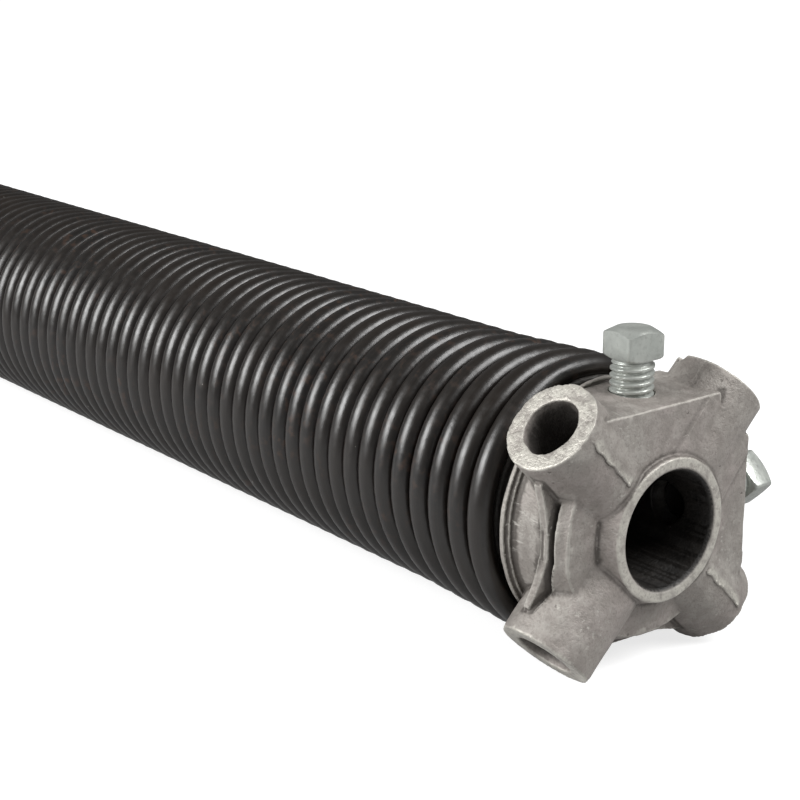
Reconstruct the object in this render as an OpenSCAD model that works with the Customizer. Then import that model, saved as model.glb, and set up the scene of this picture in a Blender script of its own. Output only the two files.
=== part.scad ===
// Garage door torsion spring with its two cast cones and two set screws.
//
// Units are millimetres. X runs along the shaft, from the mounting face of the
// stationary cone towards the nose of the winding cone. Z is up and the first
// set screw stands on the +Z side, the second on the +Y side.
//
// The spring is one wire, coiled right-handed and close wound. Both cones are
// hollow castings with a round-bottomed thread that the end coils screw onto.

/* [Spring] */
// Wire diameter
wire_d = 5.72; // [4.6:0.02:6.9]
// Inside diameter of the coils
coil_inside_d = 50.8; // [42:0.2:64]
// Whole turns of wire, from end to end
turns = 84; // [20:1:100]
// Space between one coil and the next in the close-wound body
coil_space = 0.11; // [0.04:0.01:0.3]
// Turns held on each cone
held_turns = 5; // [3:1:7]
// Space between one coil and the next where they are held on a cone
held_space = 1.13; // [0.8:0.01:2.5]
// How much wider the last coil's radius is than the body's
swell = 1.4; // [0:0.1:1.8]

/* [Shaft and cones] */
// Bore for the one inch shaft
shaft_bore_d = 25.8; // [19.5:0.1:31]
// Clearance between the wire and the thread it sits in
thread_gap = 0.15; // [0.1:0.01:0.3]
// How far the thread crests stand above the inside of the coils
crest_height = 1.6; // [1:0.1:2]
// Thickness of the threaded shell under the wire
shell_wall = 3.8; // [3:0.1:4.6]
// Metal between the shaft bore and the rim of the nose
nose_wall = 2.9; // [2.2:0.1:4]
// How far the winding cone's flange stands out past the thread crests
flange_lip = 0.8; // [0.4:0.1:2]

/* [Winding sockets] */
// Bore for the winding bars
socket_d = 13; // [10.8:0.1:15.6]
// Metal around each socket's bore
socket_wall = 4; // [3:0.1:5]
// How far the two castings hold the coils off a flat surface they lie on
coil_lift = 0.22; // [0.1:0.02:3]
// Metal left between the end of a socket and the shaft bore
socket_floor = 2.8; // [2:0.1:4]

/* [Set screws] */
// How far a pad's face lies below the highest thread crest
pad_drop = 0.4; // [0:0.1:2]
// How far the ends of a pad run into the sockets beside it
pad_sink = 3.05; // [1:0.05:4]
// Outside diameter of the set screw thread
screw_d = 9.5; // [8:0.1:11.5]
// Clearance between a set screw and its hole
screw_gap = 0.15; // [0.1:0.01:0.3]
// Length of a set screw below its head
screw_len = 19; // [17:0.5:22]
// Side of the square head
head_w = 9.5; // [8:0.1:11]
// Height of the square head
head_h = 7.1; // [6:0.1:9]
// How far the head stands clear of its pad
screw_lift = 7; // [4:0.5:9]
// How far the square head is turned about its own axis
head_turn = 82; // [0:1:90]

/* [Stationary cone] */
// Mounting bolt hole
bolt_hole_d = 10.3; // [8.5:0.1:12.5]
// Metal between a bolt hole and the collar
bolt_gap = 1.6; // [1:0.1:10]
// Seat for a bolt's head, cut into the collar
bolt_seat_d = 17; // [15:0.5:20]
// Metal around each bolt hole
ear_wall = 6.3; // [5:0.1:9]
// Thickness of the mounting plate
plate_t = 6.4; // [5:0.2:9]
// Length of the collar, which keeps the coils clear of the bolts' heads
collar_len = 7; // [5:0.5:12]
// Hole through the mounting plate
plate_bore_d = 33.4; // [27:0.1:41]

/* [Hidden] */
$fn = 72;

bore_r = shaft_bore_d / 2;
inside_r = coil_inside_d / 2;
coil_r = inside_r + wire_d / 2;
widest_r = inside_r + wire_d + swell;
pitch = wire_d + coil_space;
held_pitch = wire_d + held_space;
halves = 2 * turns;
seam_step = 0.02;
held = 2 * held_turns;

// The wire's first and last ends, along X, each a little way off its cone
end_gap = 0.4;
collar_end = plate_t + collar_len;
first_x = collar_end + wire_d / 2 + end_gap;
last_x = first_x + halves * pitch / 2 + held * (held_pitch - pitch);

// The threaded shells: crest radius at the flange or collar and at the inner
// end, radius of the hollow, and how far a shell runs past its last held coil
crest_out = inside_r + swell + crest_height;
crest_in = inside_r + crest_height;
shell_r = inside_r - thread_gap - shell_wall;
shell_past = 1.5;

// Planes and radii of the winding cone, from its flange to its nose
flange_back = last_x + wire_d / 2 + end_gap;
flange_t = 2.6;
flange_r = crest_out + flange_lip;
drum_r = crest_out - 1.2;
web_t = 2;
groove_r = drum_r - 4.7;
shoulder_r = drum_r - 1;
socket_r = socket_d / 2 + socket_wall;
socket_x = flange_back + socket_r + 0.6;
nose_x = socket_x + socket_r + 0.6;
nose_r = bore_r + nose_wall;
rear_x = last_x - held_turns * held_pitch - shell_past;

// Sockets and pads, measured from the shaft axis. The lower sockets' mouths
// reach as low as the mounting plate, so the part lies level on them.
plate_r = widest_r + coil_lift;
socket_reach = plate_r * sqrt(2) - socket_r;
draft = 0.3;
pad_height = crest_out - pad_drop;
pad_half = pad_height - socket_r * sqrt(2) + pad_sink;
pad_back = socket_r - 1.5;
pad_front = socket_r - 1.8;
pad_slope = 1;

// Half turns of the wire inside the held stretch, counted from either end
function held_near(k) = max(0, held - k);
function held_far(k) = max(0, k - (halves - held));
function held_part(k) = (held_near(k) + held_far(k)) / held;

// Place and radius of the wire's centre after k half turns
function wire_x(k) = first_x + k * pitch / 2
    + (held - held_near(k) + held_far(k)) * (held_pitch - pitch) / 2;
function wire_r(k) = coil_r + swell * held_part(k);

// Half a turn, leaning over by as much as the wire advances. Each half turn
// leaves the last one along the same tangent, so the wire has no kink. Every
// second one is a hair thinner, which keeps the seams from coinciding. The
// first and last can be trimmed by a few degrees at the wire's own ends.
module half_turn(k, d, trim) {
    side = k % 2 == 0 ? 1 : -1;
    across = wire_r(k) + wire_r(k + 1);
    lean = atan((wire_x(k + 1) - wire_x(k)) / across);
    trim_first = k == 0 ? trim : 0;
    trim_last = k == halves - 1 ? trim : 0;
    translate([(wire_x(k) + wire_x(k + 1)) / 2, side * (wire_r(k) - wire_r(k + 1)) / 2, 0])
        rotate([0, 0, side * lean])
            rotate([0, -90, 0])
                rotate([0, 0, -side * 90])
                    rotate_extrude(start = trim_last, angle = 180 - trim_first - trim_last)
                        translate([across / 2 / cos(lean), 0])
                            circle(d = d - (side > 0 ? 0 : seam_step), $fn = 24);
}

// A run of wire from one half turn to another. Its ends lie under the shaft.
module wire(from, to, d, trim = 0) {
    rotate([-90, 0, 0])
        for (k = [from : to - 1])
            half_turn(k, d, trim);
}

module spring() {
    color([0.16, 0.14, 0.13])
        wire(0, halves, wire_d, 3);
}

// A solid turned about the shaft from a profile of [x, radius] points
module turned(profile) {
    rotate([0, 90, 0])
        rotate_extrude()
            polygon([for (p = profile) [p[1], p[0]]]);
}

module along_shaft(x, length, r) {
    translate([x, 0, 0])
        rotate([0, 90, 0])
            cylinder(h = length, r = r);
}

// Radial sockets for the winding bars, at 45 degrees between the pads
module at_sockets() {
    for (turn = [45 : 90 : 315])
        translate([socket_x, 0, 0])
            rotate([-turn, 0, 0])
                children();
}

// What is on top is there again on the +Y side, mirrored in the plane
// between the two
module at_pads() {
    children();
    mirror([0, 1, -1])
        children();
}

// A pad whose face carries a set screw, with a slightly sloping front
module pad() {
    translate([socket_x, pad_half, 0])
        rotate([90, 0, 0])
            linear_extrude(2 * pad_half)
                polygon([
                    [-pad_back, bore_r - 2],
                    [-pad_back, pad_height],
                    [pad_front, pad_height],
                    [pad_front + pad_slope, nose_r],
                    [pad_front + pad_slope, bore_r - 2]
                ]);
}

// Filled corners between a pad's front and the sockets beside it
module pad_corners() {
    meet = acos(pad_front / (socket_r + draft / 2));
    fill = (pad_height - pad_half) / sqrt(2) + 0.9;
    low = bore_r + socket_floor;
    high = pad_height * sqrt(2) - fill;
    for (side = [-1, 1])
        translate([socket_x, 0, 0])
            rotate([-side * 45, 0, 0])
                translate([0, 0, low])
                    linear_extrude(high - low)
                        polygon([
                            [0, 0],
                            [pad_front, -side * pad_front * tan(meet)],
                            [pad_front, -side * fill],
                            [0, -side * fill]
                        ]);
}

// A thin gusset from a pad up the side of the socket between the two pads
module pad_gusset() {
    gusset_t = 2;
    foot = pad_half - pad_sink + 0.65;
    rise = (socket_reach * sqrt(2) - pad_height - foot) / 2 - 0.5;
    translate([socket_x + 0.6, foot, pad_height])
        rotate([90, 0, 90])
            linear_extrude(gusset_t)
                polygon([[0, 0], [rise, rise], [rise, -3], [0, -3]]);
}

// Plate between the sockets on the two sides that have no pad. Its free edges
// are shallow arcs that rise to the sockets.
module web() {
    arc_r = drum_r + 15;
    far = socket_reach - 4.5;
    translate([socket_x, 0, 0])
        rotate([0, 90, 0])
            linear_extrude(web_t)
                intersection() {
                    polygon([[-far, -far], [far, far], [far, -far]]);
                    difference() {
                        circle(r = far);
                        translate([drum_r + arc_r, 0])
                            circle(r = arc_r);
                        translate([0, -drum_r - arc_r])
                            circle(r = arc_r);
                    }
                }
}

// Threaded shell, flange with its lip, drum, groove, shoulder and nose
module winding_body() {
    step = 0.7;
    turned([
        [rear_x, bore_r - 2],
        [rear_x, crest_in - shell_past],
        [rear_x + 2, crest_in],
        [flange_back, crest_out],
        [flange_back, flange_r],
        [flange_back + flange_t - step, flange_r],
        [flange_back + flange_t - step, flange_r - 1],
        [flange_back + flange_t, flange_r - 1],
        [flange_back + flange_t, drum_r],
        [socket_x + web_t - 0.3, drum_r],
        [socket_x + web_t, drum_r - 0.3],
        [socket_x + web_t + 0.3, groove_r],
        [socket_x + web_t + 0.6, groove_r],
        [socket_x + web_t + 0.8, shoulder_r],
        [socket_x + 4.5, shoulder_r - 1.8],
        [socket_x + 6, shoulder_r - 5],
        [socket_x + 7.2, nose_r + 2.4],
        [nose_x, nose_r],
        [nose_x, bore_r - 2]
    ]);
    web();
    at_sockets()
        translate([0, 0, bore_r - 2])
            cylinder(h = socket_reach - bore_r + 2, r1 = socket_r + draft, r2 = socket_r);
    at_pads() {
        pad();
        pad_corners();
        pad_gusset();
    }
}

// Space between the threaded shell and the shaft tube, open to the rear and
// divided by four ribs
module rear_pocket() {
    rib = 4;
    end_wall = 4;
    tube_wall = 3.2;
    depth = flange_back - rear_x - end_wall;
    tube_r = bore_r + tube_wall;
    difference() {
        along_shaft(rear_x - 1, depth + 1, shell_r);
        along_shaft(rear_x - 2, depth + 3, tube_r);
        for (turn = [0, 90])
            rotate([turn, 0, 0])
                translate([rear_x - 2, -rib / 2, -shell_r - 1])
                    cube([depth + 3, rib, 2 * shell_r + 2]);
    }
}

module screw_hole() {
    translate([screw_x, 0, bore_r - 3])
        cylinder(h = pad_height - bore_r + 4, d = screw_d + 2 * screw_gap);
}

module winding_cone() {
    color([0.66, 0.64, 0.6])
        difference() {
            winding_body();
            along_shaft(rear_x - 1, nose_x - rear_x + 2, bore_r);
            turned([
                [nose_x - 0.8, bore_r - 1],
                [nose_x - 0.8, bore_r],
                [nose_x + 0.1, bore_r + 0.9],
                [nose_x + 0.1, bore_r - 1]
            ]);
            rear_pocket();
            wire(halves - held - 2, halves, wire_d + 2 * thread_gap);
            at_sockets()
                translate([0, 0, bore_r + socket_floor])
                    cylinder(h = socket_reach, d = socket_d);
            at_pads()
                screw_hole();
        }
}

// Square-head screw standing along Z, with its head's underside at z = 0
module set_screw() {
    shank_r = screw_d / 2;
    cup = 1.1;
    translate([0, 0, -screw_len])
        cylinder(h = cup, r1 = shank_r - cup, r2 = shank_r);
    translate([0, 0, cup - screw_len])
        cylinder(h = screw_len - cup + 0.5, r = shank_r);
    rotate([0, 0, head_turn])
        intersection() {
            translate([-head_w / 2, -head_w / 2, 0])
                cube([head_w, head_w, head_h]);
            cylinder(h = head_h, r1 = head_w / 2 + head_h * 2.4, r2 = head_w / 2 - 0.1);
        }
}

// Axis of both set screws along X, and the height of their heads
screw_x = socket_x - 2;
screw_z = pad_height + screw_lift;

module set_screw_top() {
    color([0.72, 0.74, 0.72])
        translate([screw_x, 0, screw_z])
            set_screw();
}

module set_screw_side() {
    color([0.72, 0.74, 0.72])
        rotate([-90, 0, 0])
            translate([screw_x, 0, screw_z])
                set_screw();
}

// Mounting plate: a round middle that the cone stands on, with an ear for
// each bolt and straight sides between them
collar_r = crest_out - 1;
bolt_y = collar_r + bolt_gap + bolt_hole_d / 2;
ear_r = bolt_hole_d / 2 + ear_wall;

module plate_outline() {
    tangent = acos((plate_r - ear_r) / bolt_y);
    circle(r = plate_r);
    for (side = [-1, 1]) {
        translate([0, side * bolt_y])
            circle(r = ear_r);
        polygon([
            [plate_r * sin(tangent), side * plate_r * cos(tangent)],
            [ear_r * sin(tangent), side * (bolt_y + ear_r * cos(tangent))],
            [-ear_r * sin(tangent), side * (bolt_y + ear_r * cos(tangent))],
            [-plate_r * sin(tangent), side * plate_r * cos(tangent)]
        ]);
    }
}

// Two gussets brace each ear against the collar, one beside each side of the
// bolt's head
module gussets() {
    gusset_t = 3;
    from_y = collar_r - 3;
    to_y = bolt_y + ear_r / 3;
    for (side = [-1, 1], shift = [-1, 1])
        mirror([0, side < 0 ? 1 : 0, 0])
            translate([0, 0, shift * (bolt_seat_d + gusset_t) / 2 - gusset_t / 2])
                linear_extrude(gusset_t)
                    polygon([
                        [plate_t - 0.5, from_y],
                        [plate_t - 0.5, to_y],
                        [plate_t + 0.3, to_y],
                        [collar_end - 1, from_y + 2],
                        [collar_end - 1, from_y]
                    ]);
}

module stationary_cone() {
    inner_x = first_x + held_turns * held_pitch + shell_past;
    color([0.66, 0.64, 0.6])
        difference() {
            union() {
                rotate([0, 90, 0])
                    linear_extrude(plate_t)
                        plate_outline();
                turned([
                    [plate_t - 1, 10],
                    [plate_t - 1, collar_r],
                    [collar_end - 0.6, collar_r],
                    [collar_end, crest_out],
                    [inner_x - 2, crest_in],
                    [inner_x, crest_in - shell_past],
                    [inner_x, 10]
                ]);
                gussets();
            }
            along_shaft(-1, plate_t + 4, plate_bore_d / 2);
            along_shaft(plate_t + 2.6, inner_x, shell_r);
            wire(0, held + 2, wire_d + 2 * thread_gap);
            for (side = [-1, 1])
                translate([0, side * bolt_y, 0]) {
                    along_shaft(-1, plate_t + 2, bolt_hole_d / 2);
                    along_shaft(plate_t, collar_len + 1, bolt_seat_d / 2);
                }
        }
}

spring();
winding_cone();
stationary_cone();
set_screw_top();
set_screw_side();
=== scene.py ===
"""A garage door torsion spring: a coiled wire, a winding cone with two set screws, a stationary cone."""

import bpy
import numpy as np
from mathutils import Matrix, Vector


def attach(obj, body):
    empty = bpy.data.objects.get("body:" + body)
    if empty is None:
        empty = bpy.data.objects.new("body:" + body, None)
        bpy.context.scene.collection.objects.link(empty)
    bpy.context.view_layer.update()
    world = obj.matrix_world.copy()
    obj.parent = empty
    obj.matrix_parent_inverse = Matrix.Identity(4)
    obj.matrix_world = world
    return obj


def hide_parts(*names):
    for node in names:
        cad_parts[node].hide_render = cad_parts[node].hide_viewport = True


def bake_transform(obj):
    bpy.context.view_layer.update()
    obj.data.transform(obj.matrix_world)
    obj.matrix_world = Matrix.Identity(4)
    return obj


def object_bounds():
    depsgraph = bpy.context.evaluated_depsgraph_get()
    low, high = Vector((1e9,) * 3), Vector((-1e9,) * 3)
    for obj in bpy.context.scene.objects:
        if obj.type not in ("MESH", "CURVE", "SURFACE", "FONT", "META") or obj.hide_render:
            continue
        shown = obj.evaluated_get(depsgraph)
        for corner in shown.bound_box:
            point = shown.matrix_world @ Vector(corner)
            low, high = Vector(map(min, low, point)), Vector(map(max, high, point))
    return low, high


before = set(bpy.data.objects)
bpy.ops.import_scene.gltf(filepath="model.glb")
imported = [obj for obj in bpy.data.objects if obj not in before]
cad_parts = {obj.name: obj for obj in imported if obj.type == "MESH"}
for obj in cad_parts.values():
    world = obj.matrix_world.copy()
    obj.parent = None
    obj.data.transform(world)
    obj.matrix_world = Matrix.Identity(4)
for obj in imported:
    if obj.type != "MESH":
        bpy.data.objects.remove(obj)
cad_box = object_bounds()

# ---------------------------------------------------------------- the spring
# One length of oil-tempered steel wire, wound cold on a mandrel, coil against
# coil. Its last five turns at each end are screwed onto the cones, which
# widens them a little and spreads them apart. Sizes are in millimetres.

MM = 0.001
WIRE_R = 2.86
COIL_R = 28.26
TURNS = 84
HALF_TURNS = 2 * TURNS
PITCH = 5.83
HELD_HALVES = 10
HELD_PITCH = 6.85
SWELL = 1.4
FIRST_X = 16.66
LAST_X = FIRST_X + HALF_TURNS * PITCH / 2 + HELD_HALVES * (HELD_PITCH - PITCH)
CUT_BACK = 3 / 180
CUT_EDGE = 0.88
WANDER, NUDGE = 0.02, 0.05
RINGS_EACH_HALF_TURN, WIRE_SIDES = 30, 16
WIRE_METRES = 15.0


def wire_place(k):
    """Where the wire crosses the plane under the shaft after k half turns: x grows by half a pitch
    each time, by half the wider pitch on a cone, and the radius grows in step towards each end."""
    near = np.clip(HELD_HALVES - k, 0, None)
    far = np.clip(k - (HALF_TURNS - HELD_HALVES), 0, None)
    x = FIRST_X + k * PITCH / 2 + (HELD_HALVES - near + far) * (HELD_PITCH - PITCH) / 2
    return x, COIL_R + SWELL * (near + far) / HELD_HALVES


def wire_centre(t):
    """Centre line at t half turns: each half turn is a half circle leaning from one crossing to the
    next, so the place is their middle plus half their difference times cosine, plus radius times sine."""
    k = np.minimum(np.floor(t), HALF_TURNS - 1)
    phi = (t - k) * np.pi
    side = np.where(k % 2 == 0, 1.0, -1.0)
    x0, r0 = wire_place(k)
    x1, r1 = wire_place(k + 1)
    radius = np.hypot(x1 - x0, r0 + r1) / 2
    x = (x0 + x1) / 2 + (x0 - x1) / 2 * np.cos(phi)
    up = -side * ((r0 - r1) / 2 + (r0 + r1) / 2 * np.cos(phi))
    return np.stack([x, side * radius * np.sin(phi), up], axis=-1)


def unit(v):
    """Vectors divided by their lengths."""
    return v / np.linalg.norm(v, axis=-1, keepdims=True)


def put_mesh(name, points, faces):
    """A smooth mesh object from an array of points in millimetres and a list of faces."""
    mesh = bpy.data.meshes.new(name)
    mesh.from_pydata(points * MM, [], faces)
    mesh.shade_smooth()
    obj = bpy.data.objects.new(name, mesh)
    bpy.context.scene.collection.objects.link(obj)
    return obj


def tube_faces(rings, sides):
    """Quads between neighbouring rings of a tube, and a fan closing each end."""
    a = np.arange(rings - 1)[:, None] * sides
    j = np.arange(sides)[None, :]
    k = (j + 1) % sides
    quads = np.stack([a + j, a + k, a + sides + k, a + sides + j], axis=-1).reshape(-1, 4)
    return quads.tolist() + [list(range(sides))[::-1], [(rings - 1) * sides + i for i in range(sides)]]


def spring_points(rings, sides):
    """Ring i is a circle across the wire at its centre line, spanned by the outward direction and the
    direction along the shaft; the two end rings are smaller, for the edge left by the cut-off.
    A little random wander outward and along the shaft keeps the coils from being perfectly even."""
    t = np.linspace(CUT_BACK, HALF_TURNS - CUT_BACK, rings)
    centre = wire_centre(t)
    bit = 0.004
    ahead = unit(wire_centre(np.minimum(t + bit, HALF_TURNS)) - wire_centre(np.maximum(t - bit, 0)))
    out = centre * [0, 1, 1]
    out = unit(out - (out * ahead).sum(-1, keepdims=True) * ahead)
    across = np.cross(ahead, out)
    rng = np.random.default_rng(4)
    knots = np.linspace(0, HALF_TURNS, 2 * HALF_TURNS)
    wander = np.interp(t, knots, rng.normal(0, WANDER, knots.size))
    smoothed = np.convolve(rng.normal(0, NUDGE, knots.size), np.ones(9) / 9, "same")
    nudge = np.interp(t, knots, smoothed)
    size = np.full(rings, WIRE_R)
    size[[0, -1]] *= CUT_EDGE
    a = np.linspace(0, 2 * np.pi, sides, endpoint=False)[None, :, None]
    ring = np.cos(a) * out[:, None] + np.sin(a) * across[:, None]
    centre = centre + out * wander[:, None] + across * nudge[:, None]
    return (centre[:, None] + ring * size[:, None, None]).reshape(-1, 3), t


WIRE_RINGS = HALF_TURNS * RINGS_EACH_HALF_TURN
points, along = spring_points(WIRE_RINGS, WIRE_SIDES)
spring = put_mesh("spring_wire", points, tube_faces(WIRE_RINGS, WIRE_SIDES))

# u runs along the wire and v around it, for the lines that drawing leaves
loops = np.zeros(len(spring.data.loops), np.int32)
spring.data.loops.foreach_get("vertex_index", loops)
starts = np.arange(len(loops)) // 4 * 4
v_of = (loops % WIRE_SIDES) / WIRE_SIDES
v_first = v_of[np.minimum(starts, len(loops) - 1)]
v_of = np.where(np.abs(v_of - v_first) > 0.5, 1.0, v_of)
u_of = along[loops // WIRE_SIDES] / HALF_TURNS * WIRE_METRES
layer = spring.data.uv_layers.new(name="along_wire")
layer.data.foreach_set("uv", np.stack([u_of, v_of], axis=-1).astype(np.float32).ravel())


def node(tree, kind, links=(), **values):
    """A shader node with values set on its sockets or itself, and links into its named sockets."""
    made = tree.nodes.new(kind)
    for key, value in values.items():
        if key in made.inputs:
            made.inputs[key].default_value = value
        else:
            setattr(made, key, value)
    for socket, source in dict(links).items():
        tree.links.new(source, made.inputs[socket])
    return made


def group_of(name, inputs, outputs):
    """An empty shader node group with float or colour sockets."""
    tree = bpy.data.node_groups.new(name, "ShaderNodeTree")
    for label, kind, value in inputs:
        tree.interface.new_socket(label, in_out="INPUT", socket_type=kind).default_value = value
    for label, kind in outputs:
        tree.interface.new_socket(label, in_out="OUTPUT", socket_type=kind)
    return tree, tree.nodes.new("NodeGroupInput"), tree.nodes.new("NodeGroupOutput")


def ramp(tree, source, stops):
    """A colour ramp from (place, colour or grey) stops."""
    made = tree.nodes.new("ShaderNodeValToRGB")
    while len(made.color_ramp.elements) < len(stops):
        made.color_ramp.elements.new(0.5)
    for element, (place, colour) in zip(made.color_ramp.elements, stops):
        element.position = place
        element.color = (*colour, 1) if isinstance(colour, tuple) else (colour, colour, colour, 1)
    tree.links.new(source, made.inputs["Fac"])
    return made.outputs["Color"]


def mixed(tree, factor, a, b):
    """Two colours mixed by a factor; each is a socket or a plain value."""
    made = tree.nodes.new("ShaderNodeMix")
    made.data_type = "RGBA"
    for index, value in ((0, factor), (6, a), (7, b)):
        if isinstance(value, bpy.types.NodeSocket):
            tree.links.new(value, made.inputs[index])
        else:
            made.inputs[index].default_value = value if index == 0 else (*value, 1)
    return made.outputs[2]


def maths(tree, operation, a, b=0.0, clamp=False):
    """One arithmetic step on sockets or plain numbers."""
    made = tree.nodes.new("ShaderNodeMath")
    made.operation = operation
    made.use_clamp = clamp
    for i, value in enumerate((a, b)):
        if isinstance(value, bpy.types.NodeSocket):
            tree.links.new(value, made.inputs[i])
        else:
            made.inputs[i].default_value = value
    return made.outputs[0]


def blotch_group():
    """Cloudy variation: three sizes of noise on Object coordinates, spread to the full range."""
    tree, given, result = group_of(
        "blotches",
        [("Size per metre", "NodeSocketFloat", 60.0), ("Contrast", "NodeSocketFloat", 2.0)],
        [("Mask", "NodeSocketFloat")],
    )
    where = node(tree, "ShaderNodeTexCoord").outputs["Object"]
    links = {"Vector": where, "Scale": given.outputs[0]}
    cloud = node(tree, "ShaderNodeTexNoise", links, Detail=6.0, Roughness=0.62)
    centred = maths(tree, "SUBTRACT", cloud.outputs["Fac"], 0.5)
    spread = maths(tree, "MULTIPLY", centred, given.outputs[1])
    tree.links.new(maths(tree, "ADD", spread, 0.5, clamp=True), result.inputs[0])
    return tree


def blotches(tree, size, contrast):
    """The cloudy mask with its own size and contrast."""
    made = node(tree, "ShaderNodeGroup", node_tree=BLOTCHES)
    made.inputs[0].default_value = size
    made.inputs[1].default_value = contrast
    return made.outputs[0]


BLOTCHES = blotch_group()


def new_material(name, base, metallic, roughness):
    """A material with an empty Principled shader."""
    made = bpy.data.materials.new(name)
    made.use_nodes = True
    made.diffuse_color = (*base, 1)
    shader = made.node_tree.nodes["Principled BSDF"]
    shader.inputs["Base Color"].default_value = (*base, 1)
    shader.inputs["Metallic"].default_value = metallic
    shader.inputs["Roughness"].default_value = roughness
    return made, made.node_tree, shader


BROWN_OXIDE = (0.0105, 0.0066, 0.0042)
BLACK_OXIDE = (0.0045, 0.0042, 0.0039)
DRAWN_BARE = (0.019, 0.0155, 0.012)
RUST = (0.055, 0.027, 0.015)
DUST = (0.42, 0.4, 0.37)


def oiled_wire():
    """Black oxide under a thin oil film: faint lines drawn along the wire, cloudy brown patches and
    scuffs, a little rust in scattered patches and pale specks of dust."""
    made, tree, shader = new_material("oil_tempered_wire", (0.012, 0.010, 0.008), 0.0, 0.3)
    uv = node(tree, "ShaderNodeUVMap", uv_map="along_wire").outputs["UV"]
    where = node(tree, "ShaderNodeTexCoord").outputs["Object"]
    stretched = node(tree, "ShaderNodeMapping", {"Vector": uv})
    stretched.inputs["Scale"].default_value = (26.0, 30.0, 1.0)
    drawn = {"Vector": stretched.outputs[0]}
    lines = node(tree, "ShaderNodeTexNoise", drawn, Scale=1.0, Detail=5.0, Roughness=0.7)
    patches = blotches(tree, 38.0, 2.6)
    small = blotches(tree, 420.0, 2.2)
    base = mixed(tree, patches, BROWN_OXIDE, BLACK_OXIDE)
    bare = ramp(tree, lines.outputs["Fac"], [(0.45, 0.0), (0.8, 0.6)])
    base = mixed(tree, bare, base, DRAWN_BARE)
    browned = ramp(tree, patches, [(0.45, 0.0), (0.9, 0.8)])
    rust = maths(tree, "MULTIPLY", ramp(tree, small, [(0.55, 0.0), (0.85, 1.0)]), browned)
    base = mixed(tree, rust, base, RUST)
    dust = node(tree, "ShaderNodeTexVoronoi", {"Vector": where}, Scale=420.0, Randomness=1.0)
    speck = ramp(tree, dust.outputs["Distance"], [(0.045, 1.0), (0.07, 0.0)])
    chosen = ramp(tree, blotches(tree, 160.0, 3.0), [(0.8, 0.0), (0.9, 0.8)])
    base = mixed(tree, maths(tree, "MULTIPLY", speck, chosen), base, DUST)
    tree.links.new(base, shader.inputs["Base Color"])
    tree.links.new(ramp(tree, small, [(0.2, 0.29), (0.8, 0.38)]), shader.inputs["Roughness"])
    shader.inputs["Specular IOR Level"].default_value = 0.66
    height = maths(tree, "ADD", lines.outputs["Fac"], small)
    bump = node(tree, "ShaderNodeBump", {"Height": height}, Strength=0.16, Distance=0.0002)
    tree.links.new(bump.outputs[0], shader.inputs["Normal"])
    return made


spring.data.materials.append(oiled_wire())
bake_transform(spring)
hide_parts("spring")

# ------------------------------------------------------------ the winding cone
# One aluminium die casting: a hollow threaded shell inside the last coils, a
# flange and drum, four radial sockets for the winding bars, two flat pads for
# the set screws, and a nose bored for the shaft. Only its mouths are machined.
# Lengths along the shaft are from the sockets' centre, positive to the nose.

SOCKET_X = LAST_X + WIRE_R + 11.5
BORE_R = 12.9
NOSE, NOSE_R, NOSE_FLARE = 11.1, 15.85, 0.36

# sockets: from the shaft's axis to a mouth, the boss and its bore, and how deep it goes
REACH = 35.8
BOSS_R, SOCKET_R = 10.5, 6.5
SOCKET_FLOOR = 15.7

# pads: face, width, how far they stand off centre, and the flat fillets and gussets beside them
PAD_HEIGHT, PAD_HALF = 28.0, 16.2
PAD_SHIFT = 1.1
PAD_FRONT, PAD_BACK = 8.7, -9.0
STRIP_FRONT = 8.75
GUSSET_X, GUSSET_HALF = 1.6, 0.9
SCREW_X = -2.0
SCREW_HOLE_R = 4.9

# turned parts, from the back to the front
FLANGE_R, FLANGE_FRONT, FLANGE_BACK = 29.0, -9.6, -11.1
LIP_R, LIP_FRONT = 28.1, -8.7
DRUM_R, DRUM_FRONT = 27.2, 2.0
PLATE_MIDDLE, PLATE_HALF, PLATE_LEAN = 1.0, 1.1, 2.4
ARC_R = 42.0
GROOVE_R, GROOVE_START, GROOVE_END = 22.9, 2.15, 3.05
SHOULDER_X, SHOULDER_R, SHOULDER_FALL = 2.85, 26.7, 0.56
SHOULDER_FRONT = 5.8

# threaded shell: its crests' radii at the end and at the flange, and the wire's path with clearance
SHELL_END = -50.1
SHELL_INSIDE = 21.45
END_CHAMFER = 1.5
CREST_IN, CREST_OUT = 27.0, 28.4
THREAD_R = WIRE_R + 0.15

# the mould's joint, and how far edges and corners are rounded
JOINT_STEP = 0.45
FLASH_X, FLASH = 5.6, 0.16
CRISP, EASED, SOFT, ROUND = 0.2, 0.3, 0.4, 0.5


def join(a, b, k):
    """The nearer of two distances, blended over k where they are alike, as a fillet in the casting."""
    h = np.clip(0.5 + 0.5 * (b - a) / k, 0, 1)
    return b + (a - b) * h - k * h * (1 - h)


def both(a, b, k):
    """The further of two distances, rounded over k, as an outside edge."""
    return -join(-a, -b, k)


def without(a, b, k):
    """What is left of a when b is taken away."""
    return -join(-a, b, k)


def lattice_noise(p, size, seed):
    """Smooth random values from -1 to 1: a lattice of random numbers, blended between its points."""
    table = np.random.default_rng(seed).uniform(-1, 1, (32, 32, 32)).astype(np.float32)
    q = p / size
    cell = np.floor(q).astype(np.int64)
    f = q - cell
    f = f * f * (3 - 2 * f)
    total = 0
    for dx in (0, 1):
        for dy in (0, 1):
            for dz in (0, 1):
                weight = (
                    (f[:, 0] if dx else 1 - f[:, 0])
                    * (f[:, 1] if dy else 1 - f[:, 1])
                    * (f[:, 2] if dz else 1 - f[:, 2])
                )
                i, j, k = (cell + [dx, dy, dz]).T % 32
                total = total + weight * table[i, j, k]
    return total


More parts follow.
